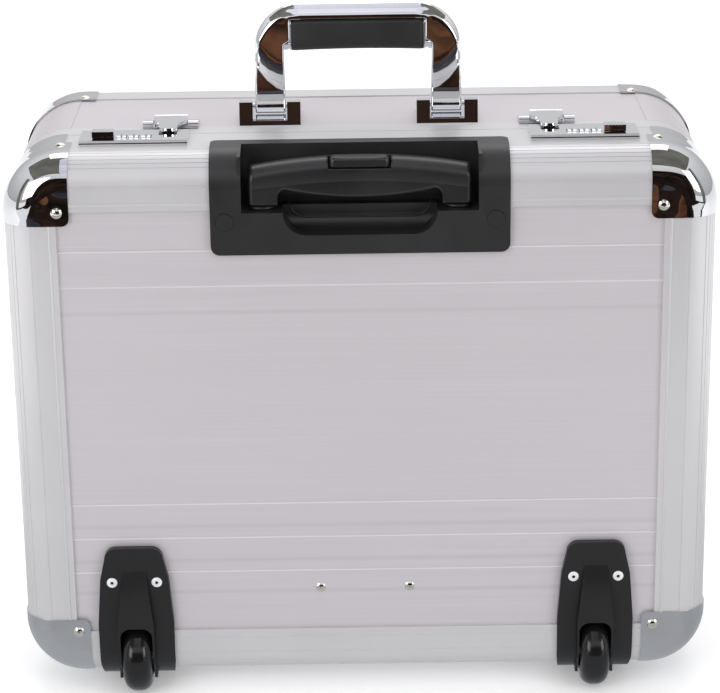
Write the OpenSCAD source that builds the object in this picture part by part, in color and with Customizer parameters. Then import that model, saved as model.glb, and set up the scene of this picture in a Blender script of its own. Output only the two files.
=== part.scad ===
// Wheeled aluminium attache case, standing on its wheels and front feet.
// X runs across the case, Y from the trolley side to the front, Z up.

/* [Case body] */
// Width of the case body
case_width = 470; // [460:1:490]
// Height of the case body
case_height = 373; // [368:1:390]
// Depth of the case body from the back face to the front face
case_depth = 200; // [196:1:220]
// Depth of the back shell, from the back face to the seam
seam_depth = 62; // [61.5:0.5:63]
// Radius of the rounded edges of the frame profiles
edge_radius = 22; // [21:0.5:23]
// Radius of the four corners seen from the front
corner_radius = 40; // [39:0.5:42]
// Width of the frame profile on the back and front faces
face_leg = 36; // [35:0.5:37]
// Height of the case body above the ground
stand_height = 11; // [10:0.5:12]

/* [Trolley] */
// Distance of each trolley tube from the middle
tube_offset = 64.5; // [63.5:0.5:65]
// Lowest point of the outer trolley tubes inside the case
tube_bottom = 60; // [56:1:64]
// Width of the recess around the trolley grip
recess_width = 155; // [154:0.5:156]

/* [Wheels] */
// Distance of each wheel from the middle
wheel_offset = 158; // [155:0.5:160]
// Diameter of the wheels
wheel_diameter = 50; // [48:0.5:51]
// Width of the wheels
wheel_width = 20; // [18:0.5:20.5]

/* [Fittings] */
// Distance of each combination lock from the middle
lock_offset = 149; // [148:0.5:150]
// Width of the carry handle
handle_width = 141; // [139:0.5:142]
// Height of the carry handle above the case
handle_height = 79; // [76:0.5:82]

/* [Hidden] */
$fn = 96;
eps = 0.05;

half_w = case_width / 2;
top_z = case_height;
wall = 2;
leg_thick = 1.8;
panel_thick = 1.5;
cap_thick = 1;
cap_reach = 45;
cap_step_y = 40;
rivet_r = 3.7;
rivet_high = 1.5;
rib_angles = [5, 14, 23, 32, 41, 50, 82];
rib_size = 0.45;
line_size = 0.6;
bead_x = face_leg - 4.5;
bead_y = 0.3;
bead_r = 0.9;
seam_gap = 0.3;
front_leg = 39;
cap_front_reach = 50;
cap_front_leg = 42;
axle_y = 8;
axle_r = 4;
hub_r = 14;
well_half = 11;
wheel_z = wheel_diameter / 2 - stand_height;
run_fit = 0.05;
dome_r = 108;
y_mid = (axle_y - wheel_diameter / 2 + case_depth + cap_thick + rivet_high) / 2;

ring_in = 5;
liner_thick = 1.2;
liner_back_y = 31;
liner_front_y = 184;
liner_top = 10;
liner_corner = 36;
ring_front_y = 75;
band_y = 82;

tube_y = 13.5;
outer_r = 8;
outer_bore = 7;
mid_r = 6.7;
mid_bore = 5.9;
inner_r = 5.6;
inner_bore = 4.6;
recess_y = 26;
recess_z = 335.5;
cup_half = 98;
cup_bottom = 307;
cup_proud = 2;
cup_wall = 2;
cup_top_y = 36;
scoop_y = 18;
scoop_z = 320;
scoop_half = 35;
button_back = 14.4;
button_z = 363.5;

lock_half = 35.75;
lock_y0 = 32.5;
lock_y1 = 60;
lock_high = 3.5;
dial_y = 42;
dial_r = 6;
dial_wide = 6;
dial_pitch = 8.1;
dial_z = top_z - 1;
dial_first = lock_offset - 8.2;
dial_shaft_r = 1.2;
lock_floor = top_z - 9;
slide_x = lock_offset + 20.2;
slide_travel = 4;
slide_high = 4.3;
hasp_x = lock_offset - 22;
hasp_y = 88;
hasp_z = top_z + 4;
hasp_pin_r = 1.5;

base_x = 60;
base_high = 15;
notch_z = 2.6;
handle_y = 103;
handle_z = top_z + 8;
handle_thick = 10;
handle_pin_r = 2;
bail_leg = 21;
bail_corner = 32;
grip_half = 45;
grip_top = 10;
grip_drop = 31.8;
bail_bar = 27;

hinge_z = -3.5;
hinge_x = 110;
hinge_half = 22;
knuckle_r = 3;
hinge_pin_r = 1.5;

stay_x = 225.6;
stay_thick = 2;
stay_reach = 75;
stay_half_angle = 15;
stay_width = 12;
stay_slot_start = 38.8;
stay_slot_end = 133.2;
peg_r = 3;
stay_pivot_y = seam_depth - stay_reach * sin(stay_half_angle);
stay_peg_y = seam_depth + stay_reach * sin(stay_half_angle);
stay_z = hinge_z + stay_reach * cos(stay_half_angle);

silver = [0.8, 0.81, 0.82];
bright = [0.9, 0.9, 0.91];
black = [0.06, 0.06, 0.065];
grey = [0.35, 0.36, 0.38];

// Helpers: every shape below is drawn with the back face at y = 0 and the body's underside at z = 0.
module place() {
    translate([0, -y_mid, stand_height]) children();
}

module along_x(x0, x1) {
    translate([x0, 0, 0]) rotate([90, 0, 90]) linear_extrude(x1 - x0) children();
}

module along_y(y0, y1) {
    translate([0, y1, 0]) rotate([90, 0, 0]) linear_extrude(y1 - y0) children();
}

module box(x0, x1, y0, y1, z0, z1) {
    translate([x0, y0, z0]) cube([x1 - x0, y1 - y0, z1 - z0]);
}

module both_sides() {
    children();
    mirror([1, 0, 0]) children();
}

module four_corners() {
    both_sides() children();
    translate([0, 0, top_z]) mirror([0, 0, 1]) both_sides() children();
}

module front_side() {
    translate([0, case_depth, 0]) mirror([0, 1, 0]) children();
}

module pin_x(x0, x1, y, z, r) {
    translate([x0, y, z]) rotate([0, 90, 0]) cylinder(h = x1 - x0, r = r);
}

// A rectangle in the X-Z plane with four rounded corners.
module round_rect(x0, x1, z0, z1, r) {
    translate([x0 + r, z0]) square([x1 - x0 - 2 * r, z1 - z0]);
    translate([x0, z0 + r]) square([x1 - x0, z1 - z0 - 2 * r]);
    for (x = [x0 + r, x1 - r]) {
        for (z = [z0 + r, z1 - r]) {
            translate([x, z]) circle(r = r);
        }
    }
}

// The outline of the case seen from the front, moved inward by u.
module outline(u) {
    round_rect(-half_w + u, half_w - u, u, top_z - u, corner_radius - u);
}

module outline_ring(u0, u1) {
    difference() {
        outline(u0);
        outline(u1);
    }
}

// The case body seen from the side, in the Y-Z plane, grown outward by g.
module side_section(g) {
    r = edge_radius + g;
    translate([edge_radius, -g]) square([case_depth - edge_radius, top_z + 2 * g]);
    translate([-g, edge_radius]) square([case_depth, top_z - 2 * edge_radius]);
    for (z = [edge_radius, top_z - edge_radius]) {
        translate([edge_radius, z]) circle(r = r);
    }
}

// Frame profile: x runs inward from the side surface and y inward from the face.
module frame_section(leg) {
    difference() {
        union() {
            translate([0, edge_radius]) square([wall, leg - edge_radius]);
            intersection() {
                translate([edge_radius, edge_radius]) difference() {
                    circle(r = edge_radius);
                    circle(r = edge_radius - wall);
                }
                square([edge_radius, edge_radius]);
            }
            translate([edge_radius, 0]) square([face_leg - edge_radius, leg_thick]);
            translate([bead_x, bead_y]) circle(r = bead_r);
        }
        for (a = rib_angles) {
            translate([edge_radius, edge_radius])
                rotate(180 + a)
                    translate([edge_radius, 0])
                        rotate(45)
                            square([rib_size, rib_size], center = true);
        }
    }
}

module frame_top(leg) {
    length = case_width - 2 * corner_radius;
    translate([0, 0, top_z]) rotate([0, 90, 0]) linear_extrude(length, center = true) frame_section(leg);
}

module frame_bottom(leg) {
    length = case_width - 2 * corner_radius;
    rotate([0, -90, 0]) linear_extrude(length, center = true) frame_section(leg);
}

module frame_left(leg) {
    length = case_height - 2 * corner_radius;
    translate([-half_w, 0, corner_radius]) linear_extrude(length) frame_section(leg);
}

// Corner cap profile: x is the distance from the corner's own axis and y runs inward from the face.
module cap_section(leg) {
    flat = corner_radius - edge_radius;
    difference() {
        translate([0, -cap_thick]) square([flat, cap_thick]);
        translate([corner_radius - bead_x, bead_y]) circle(r = bead_r + eps);
    }
    intersection() {
        translate([flat, edge_radius]) difference() {
            circle(r = edge_radius + cap_thick);
            circle(r = edge_radius);
        }
        translate([flat, -cap_thick]) square([edge_radius + cap_thick, edge_radius + cap_thick]);
    }
    translate([corner_radius, edge_radius]) square([cap_thick, leg - edge_radius]);
}

// One chrome cap at the lower right corner.
module corner_cap(leg, reach, step) {
    extra = reach - corner_radius;
    cx = half_w - corner_radius;
    translate([cx, 0, corner_radius]) rotate([-90, 0, 0]) rotate_extrude(angle = 90) cap_section(leg);
    translate([cx - extra, 0, corner_radius]) rotate([90, 0, 90]) linear_extrude(extra)
        rotate(-90) cap_section(step);
    translate([cx, 0, corner_radius]) linear_extrude(extra) cap_section(step);
    along_y(-cap_thick, 0) intersection() {
        translate([cx - extra, corner_radius]) square([extra, extra]);
        translate([cx, corner_radius]) circle(r = extra);
    }
}

module rivet_head(r, high) {
    ball = (r * r + high * high) / (2 * high);
    intersection() {
        translate([0, 0, high - ball]) sphere(r = ball);
        cylinder(h = high, r = r);
    }
}

// Rivets of one corner at the lower right: face, side and underside.
module corner_rivets(face_x, face_z, leg_pos, leg_y) {
    translate([half_w - face_x, -cap_thick, face_z]) rotate([90, 0, 0]) rivet_head(rivet_r, rivet_high);
    translate([half_w - leg_pos, leg_y, -cap_thick]) rotate([180, 0, 0]) rivet_head(rivet_r, rivet_high);
    translate([half_w + cap_thick, leg_y, leg_pos]) rotate([0, 90, 0]) rivet_head(rivet_r, rivet_high);
}

// Back shell.
module back_panel() {
    color(silver) place() difference() {
        along_y(leg_thick, leg_thick + panel_thick) outline(face_leg - 6);
        for (z = [310, 285, 130, 105, 80]) {
            translate([0, leg_thick, z]) rotate([45, 0, 0])
                cube([case_width, line_size, line_size], center = true);
        }
        cup_cut();
        well_cut();
        for (x = [-30.5, 30.5]) {
            translate([x, 0, 66]) rotate([-90, 0, 0]) cylinder(h = 8, r = 2);
        }
    }
}

module cup_cut() {
    half = recess_width / 2 + cup_wall + eps;
    box(-half, half, -wall, recess_y + cup_wall + eps, recess_z - cup_wall - eps, top_z + wall);
    box(-54, 54, -wall, scoop_y + cup_wall + eps, scoop_z - cup_wall - eps, recess_z);
}

module well_cut() {
    both_sides() box(wheel_offset - 13 - eps, wheel_offset + 13 + eps, -wall, 42 + eps, -wall, 43 + eps);
}

module back_frame_top() {
    color(silver) place() difference() {
        frame_top(seam_depth - seam_gap);
        cup_cut();
        box(-cup_half - 0.2, cup_half + 0.2, -wall, 0, cup_bottom, top_z);
        both_sides() box(lock_offset - 13.1, lock_offset + 33.1, 33.9, 50.1, lock_floor, top_z + 1);
    }
}

module back_frame_bottom() {
    color(silver) place() difference() {
        frame_bottom(seam_depth - seam_gap);
        well_cut();
        both_sides() box(wheel_offset - 30, wheel_offset + 30, -wall, 0, 0, face_leg + 2);
    }
}

module back_frame_left() {
    color(silver) place() frame_left(seam_depth - seam_gap);
}

module back_frame_right() {
    color(silver) place() mirror([1, 0, 0]) frame_left(seam_depth - seam_gap);
}

module back_corner_caps() {
    color(bright) place() four_corners() corner_cap(seam_depth - seam_gap, cap_reach, cap_step_y);
}

module back_rivets() {
    color(bright) place() {
        four_corners() corner_rivets(37, 36, 38, 34);
        for (x = [-30.5, 30.5]) {
            translate([x, leg_thick, 66]) rotate([90, 0, 0]) rivet_head(3.4, 1.2);
            translate([x, leg_thick, 66]) rotate([-90, 0, 0]) cylinder(h = 7, r = 2);
        }
        both_sides() for (dx = [-15.3, 15.3]) {
            translate([wheel_offset + dx, -3, 73.8]) rotate([90, 0, 0]) difference() {
                rivet_head(3.6, 1);
                cylinder(h = 2, r = 1.2);
            }
        }
    }
}

module back_seam_ring() {
    color(silver) place() {
        along_y(52, seam_depth - seam_gap) {
            outline_ring(wall, ring_in);
        }
        along_y(61.7 - seam_gap, seam_depth + 2.2) intersection() {
            outline_ring(3.4, 4.6);
            translate([-half_w, 60]) square([case_width, top_z]);
        }
    }
}

// Lining tray: a rounded rectangle with a lower top edge.
module tray_outline(u, top_drop) {
    round_rect(-half_w + u, half_w - u, u, top_z - top_drop, liner_corner - u + ring_in);
}

module back_liner() {
    inner = ring_in + liner_thick;
    color(grey) place() difference() {
        union() {
            along_y(liner_back_y, liner_back_y + liner_thick) tray_outline(ring_in, liner_top);
            along_y(liner_back_y, seam_depth - 2 * seam_gap) difference() {
                tray_outline(ring_in, liner_top);
                tray_outline(inner, liner_top + liner_thick);
            }
            both_sides() box(wheel_offset - 14.4, wheel_offset + 14.4, liner_back_y, 43.4, ring_in, 44.4);
        }
        both_sides() box(wheel_offset - 13.2, wheel_offset + 13.2, 0, 42.2, 0, 43.2);
    }
}

module lock_body() {
    slot_y = 2;
    difference() {
        union() {
            box(lock_offset - lock_half, lock_offset + lock_half, lock_y0, lock_y1, top_z, top_z + lock_high);
            box(lock_offset - lock_half, lock_offset + lock_half, lock_y0 - 1.5, lock_y0 + 1.5, top_z, top_z + 1.5);
            box(lock_offset - 13, lock_offset + 33, 34, 50, lock_floor, top_z + 1);
        }
        for (i = [0 : 2]) {
            pin_x(dial_first + i * dial_pitch - dial_wide / 2 - 0.35, dial_first + i * dial_pitch + dial_wide / 2 + 0.35,
                dial_y, dial_z, dial_r + 0.4);
        }
        box(slide_x - 3, slide_x + 3 + slide_travel, dial_y - slot_y - 0.4, dial_y + slot_y + 0.4,
            top_z + 0.2, top_z + lock_high + 1);
        box(hasp_x - 6, hasp_x + 6, 46.5, lock_y1 + 1, top_z + 0.8, top_z + lock_high + 1);
    }
    pin_x(dial_first - dial_wide, dial_first + 2 * dial_pitch + dial_wide, dial_y, dial_z, dial_shaft_r);
}

module lock_left() {
    color(bright) place() mirror([1, 0, 0]) lock_body();
}

module lock_right() {
    color(bright) place() lock_body();
}

module dial(i) {
    pos = dial_first + i * dial_pitch;
    difference() {
        pin_x(pos - dial_wide / 2, pos + dial_wide / 2, dial_y, dial_z, dial_r);
        pin_x(pos - dial_wide, pos + dial_wide, dial_y, dial_z, dial_shaft_r + run_fit);
        for (k = [0 : 9]) {
            translate([pos, dial_y, dial_z]) rotate([36 * k + 18, 0, 0]) translate([0, 0, dial_r])
                rotate([45, 0, 0]) cube([dial_wide + 1, line_size, line_size], center = true);
        }
    }
}

module dial_left_1() {
    color(grey) place() mirror([1, 0, 0]) dial(0);
}

module dial_left_2() {
    color(grey) place() mirror([1, 0, 0]) dial(1);
}

module dial_left_3() {
    color(grey) place() mirror([1, 0, 0]) dial(2);
}

module dial_right_1() {
    color(grey) place() dial(0);
}

module dial_right_2() {
    color(grey) place() dial(1);
}

module dial_right_3() {
    color(grey) place() dial(2);
}

module slide_button() {
    low = top_z + lock_high + 0.4;
    difference() {
        box(slide_x - 7.2, slide_x + 7.2, dial_y - 4.2, dial_y + 4.2, low, low + slide_high);
        for (i = [-2 : 2]) {
            translate([slide_x + i * 2.2, dial_y, low + slide_high]) rotate([0, 45, 0])
                cube([line_size, 10, line_size], center = true);
        }
    }
    box(slide_x - 2.5, slide_x + 2.5, dial_y - 1.9, dial_y + 1.9, top_z + 0.7, low);
}

module slide_left() {
    color(bright) place() mirror([1, 0, 0]) slide_button();
}

module slide_right() {
    color(bright) place() slide_button();
}

// Trolley.
module cup_skin() {
    intersection() {
        along_y(-cup_proud, cup_top_y)
            round_rect(-cup_half, cup_half, cup_bottom, top_z + 20, 6);
        linear_extrude(top_z + 20) round_rect(-cup_half, cup_half, -20, cup_top_y, 5);
        along_x(-cup_half, cup_half) difference() {
            side_section(cup_proud);
            side_section(0);
        }
    }
    along_y(-eps, leg_thick) round_rect(-cup_half, cup_half, cup_bottom, top_z - face_leg, 6);
}

module scoop_side() {
    r = 10;
    translate([-10, scoop_z]) square([10 + scoop_y - r, 2 * r]);
    translate([-10, scoop_z + r]) square([10 + scoop_y, 2 * r]);
    translate([scoop_y - r, scoop_z + r]) circle(r = r);
}

module scoop_outline() {
    r = recess_z - scoop_z;
    translate([-scoop_half, scoop_z]) square([2 * scoop_half, r + 1]);
    for (x = [-scoop_half, scoop_half]) {
        translate([x, recess_z]) circle(r = r);
    }
}

module trolley_cup() {
    half = recess_width / 2;
    color(black) place() difference() {
        union() {
            cup_skin();
            box(-half - cup_wall, half + cup_wall, 0, recess_y + cup_wall, recess_z - cup_wall, top_z);
            box(-53.5, 53.5, 0, scoop_y + cup_wall, scoop_z - cup_wall, recess_z);
        }
        box(-half, half, -cup_proud - 1, recess_y, recess_z, top_z + 10);
        intersection() {
            along_y(-cup_proud - 1, scoop_y) scoop_outline();
            along_x(-60, 60) scoop_side();
        }
        both_sides() translate([tube_offset, tube_y, recess_z - 5]) cylinder(h = 10, r = outer_r);
        both_sides() translate([88.6, -1.2, 329.5]) rotate([90, 0, 0]) cylinder(h = 2, r = 6);
        box(-half - cup_wall, half + cup_wall, -cup_proud, edge_radius, top_z + cup_proud, top_z + 10);
    }
}

module cup_plugs() {
    color(black) place() both_sides() translate([88.6, -1.2, 329.5]) rotate([90, 0, 0]) cylinder(h = 1.2, r = 5.8);
}

module tube(r, bore, z0, z1) {
    both_sides() translate([tube_offset, tube_y, z0]) difference() {
        cylinder(h = z1 - z0, r = r);
        translate([0, 0, -1]) cylinder(h = z1 - z0 + 2, r = bore);
    }
}

module outer_tubes() {
    color(silver) place() tube(outer_r, outer_bore, tube_bottom, recess_z);
}

module mid_tubes() {
    color(bright) place() tube(mid_r, mid_bore, tube_bottom + 8, recess_z + 1.7);
}

module inner_tubes() {
    color(bright) place() tube(inner_r, inner_bore, tube_bottom + 14, recess_z + 14);
}

module tube_bracket() {
    color(black) place() difference() {
        box(-tube_offset - 14, tube_offset + 14, leg_thick + panel_thick, 26, 58, 74);
        both_sides() translate([tube_offset, tube_y, tube_bottom]) cylinder(h = 20, r = outer_r);
        for (x = [-30.5, 30.5]) {
            translate([x, 0, 66]) rotate([-90, 0, 0]) cylinder(h = 9, r = 2);
        }
    }
}

module trolley_grip() {
    arch = 405.3;
    bow = 230;
    color(black) place() difference() {
        along_y(3, 24) difference() {
            intersection() {
                translate([-75, recess_z + 2.5]) square([150, 40]);
                translate([0, 370 - arch]) circle(r = arch, $fn = 360);
            }
            difference() {
                round_rect(-54, 54, recess_z - 12, 349, 6);
                translate([0, 343.5 + bow]) circle(r = bow, $fn = 360);
            }
        }
        box(-20.6, 20.6, 2, button_back + 0.6, button_z - 2.8, 380);
        both_sides() translate([tube_offset, tube_y, recess_z]) cylinder(h = 14, r = inner_r);
    }
}

module trolley_button() {
    color(black) place() box(-20, 20, 3.4, button_back, button_z, 371);
}

// Wheels.
module housing_outline() {
    polygon([[-24, -3], [24, -3], [25.8, 12], [26, 42], [23.4, 76], [20, 91], [12, 99],
        [-12, 99], [-20, 91], [-23.4, 76], [-26, 42], [-25.8, 12]]);
    for (x = [-12, 12]) {
        translate([x, 91]) circle(r = 8);
    }
}

module dome_outline() {
    polygon([[-12.5, -3], [12.5, -3], [12.5, 42], [8.5, 78], [-8.5, 78], [-12.5, 42]]);
    translate([0, 78]) circle(r = 8.5);
}

// The dome seen from the side, in the Y-Z plane.
module dome_side() {
    polygon([[0, 48], [-8.5, 48], [-8.5, 40], [-8, 24], [-6, 13], [0, 4]]);
    intersection() {
        translate([dome_r - 8.5, 48]) circle(r = dome_r, $fn = 360);
        translate([-9, 48 - eps]) square([9, 42]);
    }
}

module wheel_housing() {
    color(black) place() translate([wheel_offset, 0, 0]) difference() {
        union() {
            intersection() {
                along_y(-4, 46) housing_outline();
                along_x(-30, 30) difference() {
                    side_section(3);
                    side_section(0);
                }
            }
            intersection() {
                along_y(-eps, leg_thick) housing_outline();
                box(-30, 30, -1, leg_thick, face_leg, 100);
            }
            intersection() {
                along_y(-12, 0) dome_outline();
                along_x(-14, 14) dome_side();
            }
            box(-13, 13, 0, 42, 0, 43);
        }
        pin_x(-well_half, well_half, axle_y, wheel_z, wheel_diameter / 2 + 2);
        box(-well_half, well_half, -15, 38, -6, wheel_z);
        along_y(-15, axle_y) round_rect(-well_half, well_half, -30, 41, 7);
        pin_x(-20, 20, axle_y, wheel_z, axle_r);
    }
}

module wheel_housing_left() {
    mirror([1, 0, 0]) wheel_housing();
}

module wheel_housing_right() {
    wheel_housing();
}

module wheel_axles() {
    color(bright) place() both_sides()
        pin_x(wheel_offset - 13, wheel_offset + 13, axle_y, wheel_z, axle_r);
}

module hub() {
    half = wheel_width / 2 - 1;
    color(grey) place() translate([wheel_offset, axle_y, wheel_z]) rotate([0, 90, 0]) rotate_extrude()
        difference() {
            translate([axle_r + run_fit, -half]) square([hub_r - axle_r - run_fit, 2 * half]);
            for (s = [-1, 1]) {
                translate([9.5, s * half]) circle(r = 2.5);
            }
        }
}

module tyre() {
    r = wheel_diameter / 2;
    half = wheel_width / 2;
    soft = 8.5;
    color(black) place() translate([wheel_offset, axle_y, wheel_z]) rotate([0, 90, 0]) rotate_extrude()
        union() {
            translate([hub_r, -half]) square([r - soft - hub_r, wheel_width]);
            translate([hub_r, -half + soft]) square([r - hub_r, wheel_width - 2 * soft]);
            for (s = [-1, 1]) {
                translate([r - soft, s * (half - soft)]) circle(r = soft);
            }
        }
}

module hub_left() {
    mirror([1, 0, 0]) hub();
}

module hub_right() {
    hub();
}

module tyre_left() {
    mirror([1, 0, 0]) tyre();
}

module tyre_right() {
    tyre();
}

// Hinges along the lower seam.
module knuckle(x0, x1, bore) {
    difference() {
        pin_x(x0, x1, seam_depth, hinge_z, knuckle_r);
        pin_x(x0 - 1, x1 + 1, seam_depth, hinge_z, bore);
    }
}

module hinge_leaf_back() {
    x0 = hinge_x - hinge_half;
    x1 = hinge_x + hinge_half;
    mid = 7.5;
    box(x0, x1, 36, 58.8, -1.5, 0);
    for (x = [x0, hinge_x + mid]) {
        difference() {
            box(x, x + hinge_half - mid, 58, seam_depth, -1.5, -knuckle_r - hinge_z - 1.05);
            pin_x(x0 - 1, x1 + 1, seam_depth, hinge_z, hinge_pin_r);
        }
        knuckle(x, x + hinge_half - mid, hinge_pin_r);
    }
}

module hinge_leaves_back() {
    color(bright) place() both_sides() hinge_leaf_back();
}

module hinge_leaf_front() {
    half = 7;
    y0 = seam_depth + 3.4;
    box(hinge_x - hinge_half, hinge_x + hinge_half, y0, 86, -1.5, 0);
    box(hinge_x - half, hinge_x + half, seam_depth, y0, -1.5, -knuckle_r - hinge_z - 1.05);
    knuckle(hinge_x - half, hinge_x + half, hinge_pin_r + run_fit);
}

module hinge_leaves_front() {
    color(bright) place() both_sides() hinge_leaf_front();
}

module hinge_pins() {
    color(bright) place() both_sides()
        pin_x(hinge_x - hinge_half, hinge_x + hinge_half, seam_depth, hinge_z, hinge_pin_r);
}

// Lid stays: a slotted arm on each side turns on the back shell and slides on a peg of the front shell.
module stay_stud(y) {
    inside = half_w - ring_in - liner_thick;
    pin_x(stay_x - 1.7, inside, y, stay_z, peg_r);
    pin_x(stay_x - 2.9, stay_x - 1.7, y, stay_z, peg_r + 2);
    pin_x(inside - 1, inside, y, stay_z, peg_r + 3);
}

module stay_pivots() {
    color(bright) place() both_sides() stay_stud(stay_pivot_y);
}

module stay_pegs() {
    color(bright) place() both_sides() stay_stud(stay_peg_y);
}

module stay_arm() {
    color(bright) place() along_x(stay_x - stay_thick / 2, stay_x + stay_thick / 2)
        translate([stay_pivot_y, stay_z]) difference() {
            union() {
                circle(r = stay_width / 2);
                translate([0, -stay_width / 2]) square([stay_slot_end, stay_width]);
                translate([stay_slot_end, 0]) circle(r = stay_width / 2);
            }
            circle(r = peg_r + run_fit);
            translate([stay_slot_start, 0]) circle(r = peg_r + run_fit);
            translate([stay_slot_start, -peg_r - run_fit])
                square([stay_slot_end - stay_slot_start, 2 * (peg_r + run_fit)]);
            translate([stay_slot_end, 0]) circle(r = peg_r + run_fit);
        }
}

module stay_left() {
    mirror([1, 0, 0]) stay_arm();
}

module stay_right() {
    stay_arm();
}

// Front shell.
module front_panel() {
    color(silver) place() front_side() along_y(leg_thick, leg_thick + panel_thick) outline(face_leg - 6);
}

module front_frame_ends() {
    color(silver) place() front_side() {
        frame_top(front_leg);
        frame_bottom(front_leg);
    }
}

module front_frame_sides() {
    color(silver) place() front_side() both_sides() frame_left(front_leg);
}

module front_corner_caps() {
    color(bright) place() front_side() four_corners()
        corner_cap(cap_front_leg, cap_front_reach, cap_front_leg);
}

module front_rivets() {
    color(bright) place() front_side() four_corners() corner_rivets(42, 42, 42, 37);
}

module front_seam_ring() {
    color(silver) place() {
        along_y(seam_depth + seam_gap, 66) outline_ring(0, 2.8);
        along_y(66, ring_front_y) outline_ring(0, ring_in);
        along_y(ring_front_y, band_y) outline_ring(0.4, ring_in);
    }
}

module band_straight() {
    difference() {
        outline_ring(0.8, 2.8);
        four_corners_2d();
    }
}

module four_corners_2d() {
    for (x = [-half_w, half_w - corner_radius]) {
        for (z = [0, top_z - corner_radius]) {
            translate([x, z]) square([corner_radius, corner_radius]);
        }
    }
}

module front_band_panels() {
    color(silver) place() along_y(band_y, case_depth - front_leg) band_straight();
}

module front_band_corners() {
    color(silver) place() along_y(band_y, case_depth - front_leg) intersection() {
        outline_ring(0.3, 2.8);
        four_corners_2d();
    }
}

module front_liner() {
    inner = ring_in + liner_thick;
    color(grey) place() {
        along_y(band_y - 0.5, liner_front_y) difference() {
            tray_outline(ring_in, ring_in);
            tray_outline(inner, inner);
        }
        along_y(liner_front_y, liner_front_y + liner_thick) tray_outline(ring_in, ring_in);
    }
}

module feet() {
    color(black) place() both_sides() intersection() {
        along_x(wheel_offset - 16, wheel_offset + 16)
            polygon([[150, 0], [186, 0], [182, -stand_height], [154, -stand_height]]);
        along_y(140, 190) translate([wheel_offset, 0])
            polygon([[-16, 0], [16, 0], [13, -stand_height], [-13, -stand_height]]);
    }
}

// Carry handle.
module handle_base() {
    low = top_z - 0.8;
    difference() {
        along_x(base_x - 20.7, base_x + 20.7)
            polygon([[82.5, low], [124, low], [122, top_z + 4], [108, top_z + 9.3], [92, top_z + base_high],
                [85, top_z + base_high]]);
        box(base_x - 11.6, base_x + 11.6, 70, 130, top_z + notch_z, top_z + 20);
        pin_x(base_x - 25, base_x + 25, handle_y, handle_z, handle_pin_r);
    }
}

module handle_bases() {
    color(bright) place() both_sides() handle_base();
}

module handle_pins() {
    color(bright) place() both_sides() pin_x(base_x - 18, base_x + 18, handle_y, handle_z, handle_pin_r);
}

module handle_bail() {
    half = handle_width / 2;
    inner = half - bail_leg;
    crown = top_z + handle_height;
    color(bright) place() difference() {
        union() {
            along_y(handle_y - handle_thick / 2, handle_y + handle_thick / 2) difference() {
                round_rect(-half, half, handle_z - 60, crown, bail_corner);
                round_rect(-inner, inner, handle_z - 90, crown - bail_bar, 4);
                translate([-grip_half, crown - grip_drop - 5]) square([2 * grip_half, grip_drop + 5 - grip_top]);
                translate([-100, handle_z - 100]) square([200, 100]);
            }
            along_y(handle_y - 7.4, handle_y + 7.4) difference() {
                round_rect(-half, half, handle_z - 60, crown, bail_corner);
                round_rect(-inner, inner, handle_z - 90, crown - bail_bar, 4);
                translate([-grip_half, crown - grip_drop - 5]) square([2 * grip_half, grip_drop + 5 - grip_top]);
                translate([-100, top_z - 176]) square([200, 200]);
            }
            both_sides() pin_x(inner, half, handle_y, handle_z, handle_thick / 2);
        }
        pin_x(-half - 1, half + 1, handle_y, handle_z, handle_pin_r + run_fit);
    }
}

module handle_grip() {
    crown = top_z + handle_height;
    color(black) place() along_y(handle_y - 8, handle_y + 8)
        translate([-grip_half, crown - grip_drop]) square([2 * grip_half, grip_drop - grip_top]);
}

// Hasps.
module hasp_base() {
    half = 18.7;
    ear = 5;
    tab = 7;
    box(hasp_x - half, hasp_x + half, 76, 96, top_z, top_z + 1);
    for (x = [hasp_x - half, hasp_x + half - tab]) {
        pin_x(x, x + tab, 78.5, top_z + 2.6, 2.2);
        box(x, x + tab, 76.5, 80.5, top_z, top_z + 2.6);
    }
    for (x = [hasp_x - 11.2, hasp_x + 11.2 - ear]) {
        difference() {
            union() {
                pin_x(x, x + ear, hasp_y, hasp_z, 2.7);
                box(x, x + ear, hasp_y - 2.7, hasp_y + 2.7, top_z, hasp_z);
            }
            pin_x(x - 1, x + ear + 1, hasp_y, hasp_z, hasp_pin_r);
        }
    }
}

module hasp_bases() {
    color(bright) place() both_sides() hasp_base();
}

module hasp_pins() {
    color(bright) place() both_sides() pin_x(hasp_x - 11.2, hasp_x + 11.2, hasp_y, hasp_z, hasp_pin_r);
}

module hasp_leaf() {
    half = 5.9;
    low = hasp_z;
    difference() {
        union() {
            pin_x(hasp_x - half, hasp_x + half, hasp_y, hasp_z, 2.7);
            translate([hasp_x, 0, low]) linear_extrude(2.4)
                polygon([[-half, hasp_y], [half, hasp_y], [half, 84], [11.2, 83.5], [11.2, 74], [8.5, 70],
                    [-8.5, 70], [-11.2, 74], [-11.2, 83.5], [-half, 84]]);
            translate([hasp_x, 0, low]) linear_extrude(2.4)
                polygon([[-8.5, 70.5], [8.5, 70.5], [6.4, 64], [6, 57], [-6, 57], [-6.4, 64]]);
            translate([hasp_x, 57, low]) cylinder(h = 2.4, r = 6);
            box(hasp_x - 4, hasp_x + 4, 53, 57, low - 2.4, low + 0.1);
        }
        pin_x(hasp_x - 20, hasp_x + 20, hasp_y, hasp_z, hasp_pin_r + run_fit);
    }
}

module hasp_left() {
    color(bright) place() mirror([1, 0, 0]) hasp_leaf();
}

module hasp_right() {
    color(bright) place() hasp_leaf();
}

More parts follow.
